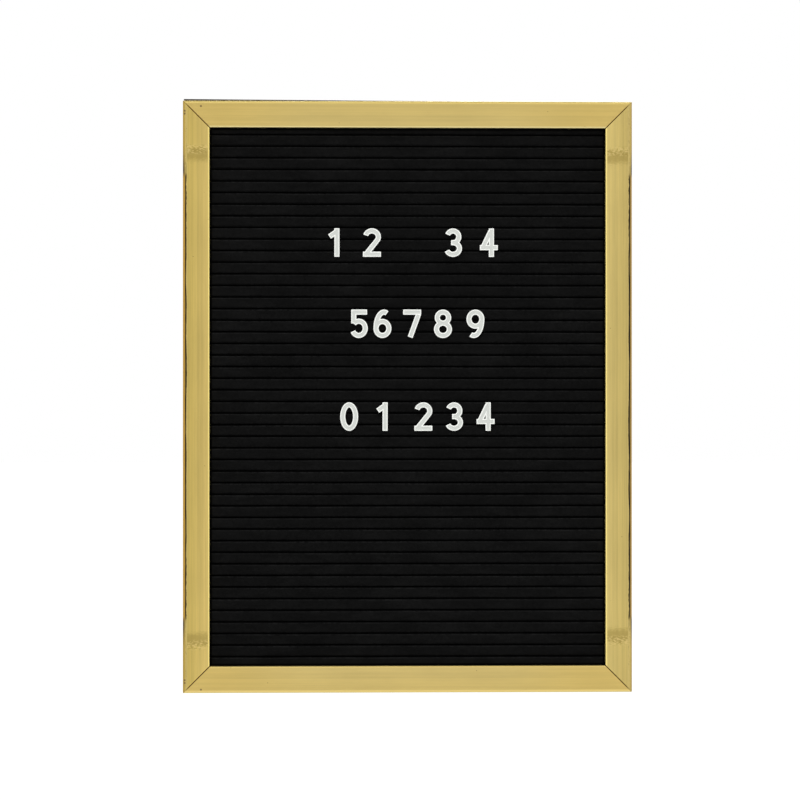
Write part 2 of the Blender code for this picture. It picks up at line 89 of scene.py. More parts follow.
SCREW_TIP_L = 0.0015
NAIL_SEAT_Y = -0.0009
NAIL_SHANK_R = 0.0006
NAIL_HEAD_R = 0.0015
NAIL_HEAD_H = 0.0006
NAIL_L = 0.009

# What the real surfaces add to the plain solids
FACE_WAVE = 0.00004
MITRE_DIP = 0.0001
MITRE_DIP_STEPS = (0.0, 0.00008, 0.0002, 0.0005)
MITRE_OUTER_GAP = 0.00006
GROOVE_WANDER = 0.00013
GROOVE_WIDTH_CHANGE = 0.0001
GROOVE_CORNER = 0.0003
FLOOR_WANDER = 0.0002
RIDGE_CROWN = 0.00014
NUMERAL_EDGE_R = 0.00028
NUMERAL_RIM_W = 0.0007
NUMERAL_FACE_SINK = 0.00014
THREAD_ROOT_R = 0.00105
THREAD_CREST_R = 0.00142
THREAD_PITCH = 0.0011
THREAD_START = 0.0003
THREAD_RUN_IN = 0.0008
THREAD_HALF_W = 0.32  # of the pitch
SCREW_TIP_R = 0.00008
RECESS_TIP_R = 0.0004
RECESS_TOP_R = 0.0019
RECESS_H = 0.0012
RECESS_MIDDLE_DROP = 0.00052
RECESS_FLATNESS = 0.3
BACK_EDGE_R = 0.00025
HANGER_EDGE_R = 0.00008

# How finely the round and the wavy shapes are divided
RAIL_STEP = 0.005
FACE_STEPS = 13
FELT_STEPS = 44
BOW_STEP_DEG = 5
HOLE_SIDES = 24
SCREW_SIDES = 32
NAIL_SIDES = 28
THREAD_STEPS = 72

# Where the foil changes: out from the sight edge, or along the rail from its middle
FACE_SPAN = (0.001, 0.0165)
# how far out from the sight edge the painted highlight along it reaches
SIGHT_HIGHLIGHT_END = (0.0008, 0.0013)
# the painted highlight and the painted shade on the level rails' outer edge
OUTER_HIGHLIGHT_SPAN = (0.0163, 0.0178)
TURN_SHADE_START = (0.0171, 0.0176)
LEVEL_FADE = (0.06, 0.13)
UPRIGHT_FADE = (0.02, 0.17)
# the painted dark reflection line on the upright rails: where it turns ragged, breaks up and fades
LINE_RAGGED = (0.09, 0.145)
LINE_BREAKS = (0.141, 0.163)
LINE_FADES = (0.147, 0.153)
TARNISH_FADES = (0.150, 0.172)
BAR_RISE_L = 0.0052
BAR_FALL = (0.0092, 0.0122)
BAR_SWIRLS = (0.0072, 0.0132)

# The studio's light
EVEN_LIGHT = 0.6
FLOOR_HALF_W = 60.0
FLOOR_Z = -1.25
FLOOR_GLOW = 0.5
MIRRORED_GLOW_SHARE = 0.55

# The photograph: the object's front plane at this scale, its middle off the middle of the image
PHOTO_PX = 800
METRES_PER_PX = 0.0006762
OBJECT_RIGHT_PX = 7.95
OBJECT_UP_PX = 3.1
CAMERA_DISTANCE = 2.5
CAMERA_YAW = math.radians(2.07)
SENSOR_W = 36.0

MIDDLE = Vector((0, 0, -BEARING_Z))

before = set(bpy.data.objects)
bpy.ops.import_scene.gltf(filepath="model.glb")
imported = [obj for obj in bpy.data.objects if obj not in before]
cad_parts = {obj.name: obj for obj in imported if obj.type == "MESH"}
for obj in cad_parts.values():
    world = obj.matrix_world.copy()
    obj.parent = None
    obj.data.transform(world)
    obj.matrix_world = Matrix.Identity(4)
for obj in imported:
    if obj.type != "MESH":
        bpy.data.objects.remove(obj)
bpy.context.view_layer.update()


def rgb(red, green, blue):
    """A colour given as it looks on screen, 0 to 255, as linear values."""
    shares = (red / 255, green / 255, blue / 255)
    return tuple(((c + 0.055) / 1.055) ** 2.4 if c > 0.04 else c / 12.92 for c in shares)


# Materials


class Finish:
    """A procedural material, built node by node."""

    def __init__(self, name):
        self.material = bpy.data.materials.new(name)
        self.material.use_nodes = True
        self.tree = self.material.node_tree
        self.shader = self.tree.nodes["Principled BSDF"]
        place = self.tree.nodes.new("ShaderNodeTexCoord")
        self.place = place.outputs["Object"]
        split = self.tree.nodes.new("ShaderNodeSeparateXYZ")
        self.tree.links.new(self.place, split.inputs[0])
        self.x, self.y, self.z = split.outputs

    def set(self, **values):
        """Settings of the shader, by the names of its sockets."""
        for name, value in values.items():
            self.feed(self.shader, name.replace("_", " "), value)

    def feed(self, node, socket, value):
        if isinstance(value, bpy.types.NodeSocket):
            self.tree.links.new(value, node.inputs[socket])
        elif isinstance(value, tuple) and len(value) == 3 and node.inputs[socket].type == "RGBA":
            node.inputs[socket].default_value = (*value, 1)
        else:
            node.inputs[socket].default_value = value

    def maths(self, operation, *values):
        node = self.tree.nodes.new("ShaderNodeMath")
        node.operation = operation
        for i, value in enumerate(values):
            self.feed(node, i, value)
        return node.outputs[0]

    def times(self, value, *others):
        """The product of all the values."""
        for other in others:
            value = self.maths("MULTIPLY", value, other)
        return value

    def facing(self, axis):
        """How far the surface faces along an axis, from -1 to 1."""
        geometry = self.tree.nodes.new("ShaderNodeNewGeometry")
        split = self.tree.nodes.new("ShaderNodeSeparateXYZ")
        self.tree.links.new(geometry.outputs["Normal"], split.inputs[0])
        return split.outputs["XYZ".index(axis)]

    def texture(self, kind, scale, shift):
        """A texture with scale features to the metre along X, Y and Z."""
        mapping = self.tree.nodes.new("ShaderNodeMapping")
        self.tree.links.new(self.place, mapping.inputs["Vector"])
        mapping.inputs["Scale"].default_value = scale if isinstance(scale, tuple) else (scale,) * 3
        mapping.inputs["Location"].default_value = (shift,) * 3
        node = self.tree.nodes.new(kind)
        node.inputs["Scale"].default_value = 1
        self.tree.links.new(mapping.outputs[0], node.inputs["Vector"])
        return node

    def grain(self, scale, detail=3.0, roughness=0.55, shift=0.0):
        """Noise from 0 to 1 about 0.5."""
        node = self.texture("ShaderNodeTexNoise", scale, shift)
        node.inputs["Detail"].default_value = detail
        node.inputs["Roughness"].default_value = roughness
        return node.outputs["Fac"]

    def cells(self, scale, shift):
        """Distance to the nearest of scattered points, in units of their spacing."""
        return self.texture("ShaderNodeTexVoronoi", scale, shift).outputs["Distance"]

    def between(self, value, low, high, to_low=0.0, to_high=1.0):
        """Value eased from one range to another and held at its ends."""
        node = self.tree.nodes.new("ShaderNodeMapRange")
        node.interpolation_type = "SMOOTHSTEP"
        for socket, number in zip(("Value", "From Min", "From Max", "To Min", "To Max"),
                                  (value, low, high, to_low, to_high)):
            self.feed(node, socket, number)
        return node.outputs[0]

    def band(self, value, start, end, soft):
        """1 between start and end, eased to 0 over soft on either side."""
        rise = self.between(value, start - soft / 2, start + soft / 2)
        fall = self.between(value, end - soft / 2, end + soft / 2, 1, 0)
        return self.times(rise, fall)

    def mix(self, share, first, second):
        """The first colour with a share of the second."""
        node = self.tree.nodes.new("ShaderNodeMix")
        node.data_type = "RGBA"
        self.feed(node, 0, share)
        self.feed(node, 6, first)
        self.feed(node, 7, second)
        return node.outputs[2]

    def shade(self, colour, factor):
        """A colour made lighter or darker by a factor about 1."""
        node = self.tree.nodes.new("ShaderNodeVectorMath")
        node.operation = "SCALE"
        self.feed(node, 0, colour)
        self.feed(node, "Scale", factor)
        return node.outputs[0]

    def bump(self, height, distance, strength):
        """Relief of the surface; gives back the finished material."""
        node = self.tree.nodes.new("ShaderNodeBump")
        node.inputs["Distance"].default_value = distance
        node.inputs["Strength"].default_value = strength
        self.tree.links.new(height, node.inputs["Height"])
        self.set(Normal=node.outputs[0])
        return self.material


def painted_edge_reflection(f, colour, along, outer_painted_light, dark_reflection_line):
    """Where the foil turns down the side, a painted reflection: a lighter band, a dark line that breaks
    up into specks near the ends, and a warmer outermost edge that is tarnished near the ends."""
    line_start, line_end = dark_reflection_line
    # painted reflection: a lighter band inside the dark line
    lighter = f.between(f.x, line_start - 0.0008, line_start - 0.0003, 0, 0.5)
    colour = f.mix(lighter, colour, rgb(212, 190, 120))
    near_end = f.between(along, *LINE_FADES)
    out = f.maths("SUBTRACT", f.x, f.times(near_end, 0.0002))
    # painted reflection: a warmer outermost line, tarnished near the ends
    outermost = f.between(out, line_end - 0.0002, line_end + 0.0002)
    tarnish = f.mix(f.between(along, *TARNISH_FADES), rgb(84, 62, 18), rgb(178, 147, 50))
    outer_colour = f.mix(near_end, outer_painted_light, tarnish)
    colour = f.mix(f.times(outermost, foil_turn(f)), colour, outer_colour)
    # the painted dark reflection line breaks up into specks near the ends
    speck = f.maths("SUBTRACT", f.grain((1600, 1600, 420), 4, 0.7, 1.7),
                    f.between(along, *LINE_BREAKS, -0.6, 0.06))
    faint = f.between(f.grain((500, 500, 60), 3, 0.6, 7.1), 0.35, 0.6, 0.74, 1)
    # the line's inner side wanders, slowly all along and in small steps near the ends
    ragged = f.times(f.between(f.grain((0, 0, 38), 6, 0.74, 1.0 + line_end), 0.3, 0.7, -0.0006, 0.0005),
                     f.between(along, *LINE_RAGGED, 0.25, 1))
    slow = f.between(f.grain((0, 0, 20), 1, 0.5, 3 + line_end), 0.35, 0.65, -0.0003, 0.00025)
    inwards = f.maths("ADD", f.x, f.maths("ADD", ragged, slow))
    inner_side = f.between(inwards, line_start - 0.00012, line_start + 0.00012)
    outer_side = f.between(f.x, line_end - 0.00012, line_end + 0.00012, 1, 0)
    # the painted dark reflection line itself
    line = f.times(inner_side, outer_side, faint, f.between(near_end, 0, 1, 1, 0.3))
    colour = f.mix(f.times(line, 0.55), colour, rgb(140, 110, 44))
    return f.mix(f.times(line, f.between(speck, 0.5, 0.53)), colour, rgb(36, 27, 8))


def tarnished_bars(f, colour, outer_end, bar_start, bar_shift):
    """Dull bars across an upright rail, mottled with rubbed and with darker swirls."""
    across = f.band(f.x, 0.0012, outer_end, 0.0006)
    swirl = f.grain((520, 520, 1150), 3, 0.5, 5.2)
    from_middle = f.maths("ABSOLUTE", f.maths("SUBTRACT", f.z, bar_shift))
    from_start = f.maths("SUBTRACT", from_middle, bar_start)
    edge = f.maths("ADD", from_start, f.between(swirl, 0.3, 0.7, -0.001, 0.001))
    bar = f.times(f.between(edge, 0, BAR_RISE_L), f.between(edge, *BAR_FALL, 1, 0), across)
    colour = f.mix(f.times(bar, 0.65), colour, rgb(160, 139, 70))
    mottled = f.times(f.band(from_start, *BAR_SWIRLS, 0.0026), across)
    rubbed = f.times(f.between(swirl, 0.5, 0.62), mottled)
    colour = f.mix(f.times(rubbed, 0.65), colour, rgb(218, 194, 126))
    stained = f.times(f.between(swirl, 0.34, 0.46, 1, 0), mottled)
    return f.mix(f.times(stained, 0.72), colour, rgb(160, 138, 68))


def foil_turn(f):
    """1 on the face and on the turn of the outer edge, 0 down the side."""
    turned = RAIL_FRONT_Y + OUTER_EDGE_R
    return f.between(f.y, turned, turned + 0.0006, 1, 0)


def gold_foil(name, half_length, face, sight_highlight, outer_painted_light, dark_reflection_line=None, bars=None, marks=()):
    """Satin foil on one rail: X runs out from the sight edge and Z along the rail. Only the upright
    rails have a painted dark reflection line, given by where it starts and ends, and tarnished bars,
    given by how far their inner ends lie from the rail's middle and how far both are shifted along it;
    the level rails have a painted highlight line there instead, with painted shade on the last of the
    outer turn."""
    f = Finish(name)
    colour = f.mix(f.between(f.x, *FACE_SPAN), *face)
    along = f.maths("ABSOLUTE", f.z)
    if not dark_reflection_line:
        colour = f.mix(f.between(along, *LEVEL_FADE, 0, 0.8), colour, rgb(206, 179, 102))
    # lengthwise drawing lines, and slow patches of thinner and thicker lacquer
    streak = f.grain((760, 760, 1.6), 2, 0.5, 6.3)
    broad = f.grain((420, 420, 5), 2, 0.5)
    fine = f.grain((2600, 2600, 22), 3, 0.6, 3.1)
    patch = f.grain((70, 70, 26), 3, 0.6, 8.4)
    depth = 0.075 if dark_reflection_line else 0.04
    factor = f.times(f.between(broad, 0.25, 0.75, 0.975, 1.025),
                     f.between(streak, 0.3, 0.7, 1 - depth, 1 + depth),
                     f.between(fine, 0.25, 0.75, 1 - depth, 1 + 0.9 * depth),
                     f.between(patch, 0.3, 0.7, 0.97, 1.025))
    if dark_reflection_line:
        factor = f.times(factor, f.between(along, *UPRIGHT_FADE, 0.975, 1.03))
    colour = f.shade(colour, factor)
    # painted highlight along the sight edge
    colour = f.mix(f.between(f.x, *SIGHT_HIGHLIGHT_END, 1, 0), colour, sight_highlight)
    # the upright rails: a painted reflection along the outer edge
    if dark_reflection_line:
        colour = painted_edge_reflection(f, colour, along, outer_painted_light, dark_reflection_line)
        colour = tarnished_bars(f, colour, dark_reflection_line[0] - 0.0002, *bars)
    else:
        # the level rails: a painted highlight along the outer edge, and painted shade on the last of
        # its turn
        outer_highlight, turn_shade = outer_painted_light
        colour = f.mix(f.band(f.x, *OUTER_HIGHLIGHT_SPAN, 0.0004), colour, outer_highlight)
        turned = f.times(f.between(f.x, *TURN_SHADE_START), foil_turn(f))
        colour = f.mix(turned, colour, turn_shade)
    # pinholes in the foil, and knocked spots
    pinhole = f.between(f.cells(105, 2.3), 0.022, 0.034, 1, 0)
    colour = f.mix(pinhole, colour, rgb(118, 92, 48))
    for mark_x, mark_z in marks:
        away_x = f.maths("SUBTRACT", f.x, mark_x)
        away_z = f.maths("SUBTRACT", f.z, mark_z)
        away = f.maths("SQRT", f.maths("ADD", f.times(away_x, away_x), f.times(away_z, away_z)))
        colour = f.mix(f.between(away, 0.0004, 0.0009, 0.9, 0), colour, rgb(112, 92, 60))
    # brown cut ends of the foil at the mitre
    to_mitre = f.maths("SUBTRACT", along, f.x)
    cut_end = f.times(f.between(to_mitre, half_length - 0.00056, half_length - 0.0004),
                      f.between(f.x, 0.0135, 0.0168, 1, 0.2))
    colour = f.mix(cut_end, colour, rgb(98, 68, 14))
    # fibreboard shows where the foil ends, at the rear and inside the rebate
    wood = f.shade(rgb(150, 118, 82), f.between(f.grain(900, 4, 0.7, 4.4), 0.3, 0.7, 0.8, 1.15))
    raw = f.times(f.between(f.y, LIP_REAR_Y - 0.0001, LIP_REAR_Y + 0.0001),
                  f.between(f.x, RAIL_FACE_W - 0.0008, RAIL_FACE_W - 0.0004, 1, 0))
    colour = f.mix(raw, colour, wood)
    roughness = f.between(fine, 0.25, 0.75, 0.32, 0.44)
    f.set(Base_Color=colour, Metallic=f.between(raw, 0, 1, 0.72, 0),
          Roughness=f.maths("ADD", roughness, f.times(raw, 0.4)))
    height = f.maths("ADD", fine, f.times(patch, 0.6))
    return f.bump(height, 0.00003, 0.5)


def black_felt():
    """Matte felt with uneven nap, whose X runs across the board and Z up it."""
    f = Finish("black_felt")
    fibre = f.grain((2200, 1400, 1400), 5, 0.72)
    tuft = f.grain(420, 3, 0.6, 2.9)
    cloud = f.grain(30, 2, 0.5, 7.7)
    brushed = f.grain((55, 55, 190), 3, 0.6, 5.5)
    # painted shade beside the dark line of each groove, with a ragged edge
    first_groove = SIGHT_H / 2 - FIRST_GROOVE_DROP
    grooves_down = f.maths("DIVIDE", f.maths("SUBTRACT", first_groove, f.z), GROOVE_PITCH)
    from_nearest = f.maths("SUBTRACT", grooves_down, f.maths("ROUND", grooves_down))
    to_groove = f.times(f.maths("ABSOLUTE", from_nearest), GROOVE_PITCH)
    # the edge of the painted groove shade wanders with this noise
    nap = f.between(f.grain((480, 480, 170), 5, 0.7, 9.1), 0.3, 0.7, -0.0006, 0.0008)
    groove_shade_edge = f.maths("ADD", to_groove, nap)
    factor = f.times(f.between(fibre, 0.28, 0.72, 0.6, 1.5), f.between(tuft, 0.3, 0.7, 0.85, 1.15),
                     f.between(cloud, 0.3, 0.7, 0.89, 1.11), f.between(brushed, 0.3, 0.7, 0.85, 1.19),
                     f.between(groove_shade_edge, 0.0007, 0.0013, 0.45, 1))
    # painted highlight on the upper shoulder of each ridge, which faces the light from above
    shoulder_highlight = f.between(f.facing("Z"), 0.12, 0.6, 1, 1.95)
    colour = f.shade(rgb(14, 14, 14), f.times(factor, shoulder_highlight))
    # painted shadow of the frame's lip, dark along the edges of the opening
    pressed = [f.between(f.maths("ABSOLUTE", place), size / 2 - 0.0019, size / 2 - 0.0012)
               for place, size in ((f.x, SIGHT_W), (f.z, SIGHT_H))]
    colour = f.mix(f.maths("MAXIMUM", *pressed), colour, rgb(1, 1, 1))
    f.set(Base_Color=colour, Roughness=0.95, Specular_IOR_Level=0.02,
          Sheen_Weight=0.015, Sheen_Roughness=0.6, Sheen_Tint=(1, 1, 1, 1))
    height = f.maths("ADD", fibre, f.times(tuft, 0.8))
    return f.bump(height, 0.00025, 0.7)


def white_plastic():
    """Satin moulded plastic, with a painted highlight on the raised rim of each face and round its
    edge.
    """
    f = Finish("white_plastic")
    cloud = f.grain(160, 2, 0.5)
    tooth = f.grain(3800, 3, 0.6, 4.2)
    colour = f.shade(rgb(207, 210, 205), f.between(cloud, 0.3, 0.7, 0.975, 1.02))
    # painted highlight on the raised rim of each face and on its turned edges
    sunk = -NUMERAL_T / 2 + NUMERAL_FACE_SINK
    rim = f.between(f.y, sunk - 0.8 * NUMERAL_FACE_SINK, sunk - 0.2 * NUMERAL_FACE_SINK, 1, 0)
    turned = f.between(f.maths("ABSOLUTE", f.facing("Y")), 0.85, 0.97, 1, 0)
    colour = f.mix(f.maths("MAXIMUM", rim, turned), colour, rgb(248, 250, 245))
    touched = f.between(f.grain(330, 4, 0.65, 6.6), 0.6, 0.75, 0, 0.3)
    colour = f.mix(touched, colour, rgb(204, 205, 194))
    f.set(Base_Color=colour, Roughness=f.between(tooth, 0.3, 0.7, 0.33, 0.43),
          Specular_IOR_Level=0.4, Subsurface_Weight=0.06, Subsurface_Scale=0.001,
          Subsurface_Radius=(1, 1, 1))
    return f.bump(tooth, 0.000012, 0.5)


def backing_board():
    """Dark hardboard: smooth faces with pressed fibres, rougher and paler on its sawn edges."""
    f = Finish("backing_board")
    fibre = f.grain((1300, 1300, 420), 5, 0.7)
    fleck = f.grain(240, 4, 0.65, 5.8)
    cloud = f.grain(14, 3, 0.55, 1.1)
    factor = f.times(f.between(fibre, 0.28, 0.72, 0.82, 1.2), f.between(fleck, 0.3, 0.7, 0.9, 1.12),
                     f.between(cloud, 0.3, 0.7, 0.88, 1.12))
    face = f.shade(rgb(58, 53, 47), factor)
    edge = f.shade(rgb(84, 79, 63), factor)
    rear = f.between(f.y, BACK_REAR_Y - 0.00015, BACK_REAR_Y - 0.00003)
    front = f.between(f.y, BACK_FRONT_Y + 0.00003, BACK_FRONT_Y + 0.00015, 1, 0)
    colour = f.mix(f.maths("MAXIMUM", rear, front), edge, face)
    scuff = f.times(f.between(f.grain((35, 35, 320), 4, 0.7, 3.4), 0.62, 0.72),
                    f.between(f.grain(18, 2, 0.5, 9.9), 0.5, 0.65), 0.4)
    colour = f.mix(scuff, colour, rgb(104, 96, 84))
    f.set(Base_Color=colour, Roughness=f.between(fleck, 0.3, 0.7, 0.55, 0.72), Specular_IOR_Level=0.3)
    return f.bump(f.maths("ADD", fibre, fleck), 0.00012, 0.5)


def core_board():
    """Raw fibreboard."""
    f = Finish("core_board")
    fibre = f.grain(1500, 5, 0.75)
    fleck = f.grain(300, 3, 0.6, 2.2)
    factor = f.times(f.between(fibre, 0.3, 0.7, 0.8, 1.2), f.between(fleck, 0.3, 0.7, 0.9, 1.1))
    f.set(Base_Color=f.shade(rgb(156, 124, 88), factor), Roughness=0.85, Specular_IOR_Level=0.2)
    return f.bump(fibre, 0.0001, 0.6)


def zinc_steel():
    """Zinc plate with spangle, drawn scratches and dull stains."""
    f = Finish("zinc_steel")
    spangle = f.grain(700, 3, 0.6)
    scratch = f.grain((60, 900, 2400), 3, 0.7, 3.7)
    stain = f.between(f.grain(420, 4, 0.7, 6.1), 0.58, 0.72, 0, 0.45)
    colour = f.shade(rgb(202, 203, 204), f.between(spangle, 0.3, 0.7, 0.9, 1.05))
    colour = f.mix(stain, colour, rgb(150, 146, 136))
    f.set(Base_Color=colour, Metallic=1.0, Roughness=f.between(scratch, 0.3, 0.7, 0.24, 0.4))
    return f.bump(scratch, 0.00002, 0.4)


# Mesh tools


def linked(name, mesh):
    item = bpy.data.objects.new(name, mesh)
    bpy.context.scene.collection.objects.link(item)
    return item


def evaluated_mesh(source):
    """The mesh of an object with its modifiers, its loose caps welded; the object is removed."""
    bpy.context.view_layer.update()
    depsgraph = bpy.context.evaluated_depsgraph_get()
    mesh = bpy.data.meshes.new_from_object(source.evaluated_get(depsgraph))
    work = bmesh.new()
    work.from_mesh(mesh)
    bmesh.ops.remove_doubles(work, verts=work.verts, dist=1e-6)
    work.to_mesh(mesh)
    work.free()
    bpy.data.objects.remove(source, do_unlink=True)
    return mesh


def grid_mesh(name, rows, closed=True, capped=True):
    """Rows of points of one length, joined into a skin; each row may close on itself."""
    count = len(rows[0])
    points = [point for row in rows for point in row]
    faces = []
    for i in range(len(rows) - 1):
        for j in range(count if closed else count - 1):
            k = (j + 1) % count
            faces.append((i * count + j, i * count + k, (i + 1) * count + k, (i + 1) * count + j))
    if capped:
        faces.append(tuple(reversed(range(count))))
        faces.append(tuple((len(rows) - 1) * count + j for j in range(count)))
    mesh = bpy.data.meshes.new(name)
    mesh.from_pydata(points, [], faces)
    outward(mesh)
    return mesh


def outward(mesh):
    work = bmesh.new()
    work.from_mesh(mesh)
    bmesh.ops.recalc_face_normals(work, faces=work.faces)
    work.to_mesh(mesh)
    work.free()


def boolean(part, others, operation):
    """The part's mesh cut by, or joined with, other meshes."""
    body = linked("body", part)
    tools = [linked("tool", other) for other in others]
    for tool in tools:
        modifier = body.modifiers.new("cut", "BOOLEAN")
        modifier.operation = operation
        modifier.object = tool
    mesh = evaluated_mesh(body)
    for tool in tools:
        bpy.data.objects.remove(tool, do_unlink=True)
    return mesh


def joined(meshes):
    """Overlapping solids made one."""
    return boolean(meshes[0], meshes[1:], "UNION") if len(meshes) > 1 else meshes[0]


def bmesh_to_mesh(work, name):
    mesh = bpy.data.meshes.new(name)
    work.to_mesh(mesh)
    work.free()
    return mesh


def box_mesh(low, high):
    low = Vector(low)
    size = Vector(high) - low
    work = bmesh.new()
    place = Matrix.Translation(low + size / 2) @ Matrix.Diagonal((*size, 1))
    bmesh.ops.create_cube(work, size=1, matrix=place)
    return bmesh_to_mesh(work, "box")


def hole_mesh(radius, seat_y, length, at):
    """A round cutter along Y for a shank of this length, with room beyond its tip."""
    work = bmesh.new()
    depth = length + HOLE_END_GAP
    place = Matrix.Translation((at.x, seat_y - depth / 2, at.z)) @ Matrix.Rotation(math.pi / 2, 4, "X")
    bmesh.ops.create_cone(work, cap_ends=True, segments=HOLE_SIDES, radius1=radius + FIT_GAP,
                          radius2=radius + FIT_GAP, depth=depth, matrix=place)
    return bmesh_to_mesh(work, "hole")


def arc(centre_x, centre_y, radius_x, radius_y, start_deg, end_deg, steps):
    """Points along an arc, both ends included."""
    points = []
    for i in range(steps + 1):
        angle = math.radians(start_deg + (end_deg - start_deg) * i / steps)
        points.append((centre_x + radius_x * math.cos(angle),
                       centre_y + radius_y * math.sin(angle)))
    return points


def stroke_mesh(path, width, depth, closed=False):
    """A wall of one width that follows a path across the face and is depth deep along Y."""
    work = bmesh.new()
    fronts = [work.verts.new((x, -depth / 2, z)) for x, z in path]
    rears = [work.verts.new((x, depth / 2, z)) for x, z in path]
    count = len(path)
    for i in range(count if closed else count - 1):
        j = (i + 1) % count
        work.faces.new((fronts[i], fronts[j], rears[j], rears[i]))
    wall = linked("stroke", bmesh_to_mesh(work, "stroke"))
    solidify = wall.modifiers.new("width", "SOLIDIFY")
    solidify.thickness = width
    solidify.offset = 0
    solidify.use_even_offset = True
    return evaluated_mesh(wall)


def soften(mesh, degrees=35):
    mesh.shade_smooth()
    mesh.set_sharp_from_angle(angle=math.radians(degrees))


def bevelled(item, width, segments=3, degrees=40, level_normals=True):
    bevel = item.modifiers.new("edges", "BEVEL")
    bevel.width = width
    bevel.segments = segments
    bevel.limit_method = "ANGLE"
    bevel.angle_limit = math.radians(degrees)
    bevel.harden_normals = level_normals
    soften(item.data)
    return item


def dressed(name, mesh, material, nodes, location=(0, 0, 0), turn_y=0.0):
    """A piece at its place, which stands for CAD nodes and rides on the board."""
    item = linked(name, mesh)
    mesh.materials.clear()
    mesh.materials.append(material)
    item.location = location
    item.rotation_euler.y = turn_y
    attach(item, "root")
    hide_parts(*nodes)
    return item


def repaint(node, material):
    """Gives a CAD node's own solid a finish."""
    for material_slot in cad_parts[node].material_slots:
        material_slot.material = material


# Frame


def rail_section():
    """Points round a rail's section: distance out from the sight edge, depth, and their share of
    the face's unevenness."""
    inner = arc(SIGHT_EDGE_R, RAIL_FRONT_Y + SIGHT_EDGE_R, SIGHT_EDGE_R, SIGHT_EDGE_R, 180, 270, 6)
    width = RAIL_FACE_W - OUTER_EDGE_R - SIGHT_EDGE_R
    face = [(SIGHT_EDGE_R + width * i / FACE_STEPS, RAIL_FRONT_Y) for i in range(1, FACE_STEPS)]
    outer = arc(RAIL_FACE_W - OUTER_EDGE_R, RAIL_FRONT_Y + OUTER_EDGE_R, OUTER_EDGE_R, OUTER_EDGE_R,
                270, 360, 9)
    corner = 0.0003
    side_inset = 0.004
    rest = [(RAIL_FACE_W, RAIL_FRONT_Y + side_inset), (RAIL_FACE_W, RAIL_REAR_Y - side_inset),
            (RAIL_FACE_W, RAIL_REAR_Y - corner), (RAIL_FACE_W - corner, RAIL_REAR_Y),
            (LIP_W, RAIL_REAR_Y), (LIP_W, LIP_REAR_Y), (0, LIP_REAR_Y)]
    points = [(x, y, 0.0) for x, y in inner]
    points += [(x, y, 1.0) for x, y in face]
    points += [(x, y, max(0.0, 0.75 - 0.25 * i)) for i, (x, y) in enumerate(outer)]
    return points + [(x, y, 0.0) for x, y in rest]


def rail_mesh(sight_length, seed):
    """A rail with its sight edge on the local Z axis, its ends slanted to the mitre. Its front
    dips slightly where the foil is cut at each end."""
    section = rail_section()
    steps = int(sight_length / RAIL_STEP)
    stations = [(-1, from_end) for from_end in MITRE_DIP_STEPS]
    stations += [(-1 + 2 * i / steps, None) for i in range(1, steps)]
    stations += [(1, from_end) for from_end in MITRE_DIP_STEPS[::-1]]
    rows = []
    for share, from_end in stations:
        row = []
        for x, y, uneven in section:
            gap = MITRE_GAP + (MITRE_OUTER_GAP - MITRE_GAP) * x / RAIL_FACE_W
            half = sight_length / 2 + x - gap / math.sqrt(2)
            z = share * half if from_end is None else share * (half - from_end)
            wave = noise.noise((x * 160, seed, z * 38)) + 0.5 * noise.noise((x * 420, seed + 5, z * 11))
            sink = uneven * FACE_WAVE * wave
            if from_end is not None and y < RAIL_FRONT_Y + OUTER_EDGE_R:
                sink += MITRE_DIP * (1 - from_end / MITRE_DIP_STEPS[-1]) ** 3
            row.append((x, y + sink, z))
        rows.append(row)
    return grid_mesh("rail", rows)


def corner_slots(rail):
    """Cutters for the corner nails that enter a rail, in the row frame."""
    slots = []
    for level, level_name in ((1, "top"), (-1, "bottom")):
        for side, side_name in ((-1, "left"), (1, "right")):
            if rail not in (level_name, side_name):
                continue
            x = side * (SIGHT_W / 2 + LIP_W + V_NAIL_INNER_WOOD)
            z = level * (SIGHT_H / 2 + LIP_W + V_NAIL_INNER_WOOD)
            reach = V_NAIL_LEG + FIT_GAP
            path = [(x + side * reach, z), (x, z), (x, z + level * reach)]
            slot = stroke_mesh(path, V_NAIL_T + 2 * FIT_GAP, V_NAIL_H + 2 * HOLE_END_GAP)
            slot.transform(Matrix.Translation((0, RAIL_REAR_Y - V_NAIL_H / 2, -BEARING_Z)))
            slots.append(slot)
    return slots


def node_middle(node):
    low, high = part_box(node)
    return (low + high) / 2


def rail_holes(rail):
    """Cutters for the screws and nails whose shanks lie in a rail, in the row frame."""
    low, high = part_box("rail_" + rail)
    holes = []
    for number in range(1, SCREW_COUNT + 1):
        at = node_middle(f"back_screw_{number}")
        if low.x < at.x < high.x and low.z < at.z < high.z:
            holes.append(hole_mesh(SCREW_SHANK_R, SCREW_SEAT_Y, SCREW_L, at))
    if rail == "top":
        for side in ("left", "right"):
            at = node_middle("hanger_nail_" + side)
            holes.append(hole_mesh(NAIL_SHANK_R, NAIL_SEAT_Y, NAIL_L, at))
    return holes


